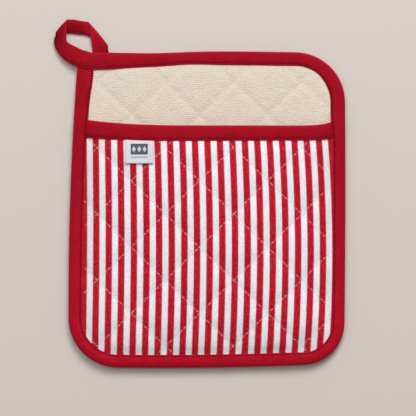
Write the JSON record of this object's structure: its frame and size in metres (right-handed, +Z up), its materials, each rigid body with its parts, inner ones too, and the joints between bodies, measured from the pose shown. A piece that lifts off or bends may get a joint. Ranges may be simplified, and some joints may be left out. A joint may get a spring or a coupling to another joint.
{
  "type": "quilted pocket oven mitt",
  "caption": "Square quilted oven mitt with a hand pocket of striped cotton, terry lining, bound edges, a woven label and a corner loop to hang it by.",
  "frame": {"origin": "middle of the back panel's underside, which rests on the table", "axes": "+X across the mitt, +Y from the pocket's closed end towards the hanging loop, +Z up from the table through the pocket"},
  "size_m": [0.2125, 0.2562, 0.0272],
  "materials": {
    "striped_cotton": "matte cotton twill in red and white stripes",
    "batting": "soft white wadding",
    "terry": "cream cotton terry loops",
    "quilting_thread": "white sewing thread",
    "binding_tape": "matte red cotton bias tape",
    "seam_thread": "dark red sewing thread",
    "woven_label": "white woven ribbon with a grey woven motif"
  },
  "bodies": {
    "back": {"back_cover": "striped_cotton", "back_batting": "batting", "back_lining": "terry", "back_quilting_thread": "quilting_thread", "edge_binding": "binding_tape", "edge_seam_thread": "seam_thread"},
    "pocket_front": {"pocket_lining": "terry", "pocket_batting": "batting", "pocket_cover": "striped_cotton", "pocket_quilting_thread": "quilting_thread", "pocket_binding": "binding_tape", "pocket_seam_thread": "seam_thread"},
    "label": {"label": "woven_label"},
    "loop": {"hanging_loop": "binding_tape", "loop_seam_thread": "seam_thread"}
  },
  "joints": [
    {"name": "pocket_open", "type": "hinge", "parent": "back", "child": "pocket_front", "pos_m": [0, -0.1062, 0.0079], "axis": [0.9998, 0.0175, 0], "range_deg": [0, 10]},
    {"name": "label_lift", "type": "hinge", "parent": "pocket_front", "child": "label", "pos_m": [-0.04975, 0.0506, 0.02303], "axis": [-0.9896, 0, -0.1441], "range_deg": [0, 120]},
    {"name": "loop_swing", "type": "hinge", "parent": "back", "child": "loop", "pos_m": [-0.09527, 0.11008, 0.0075], "axis": [0.9559, 0.2936, 0], "range_deg": [0, 170]}
  ]
}
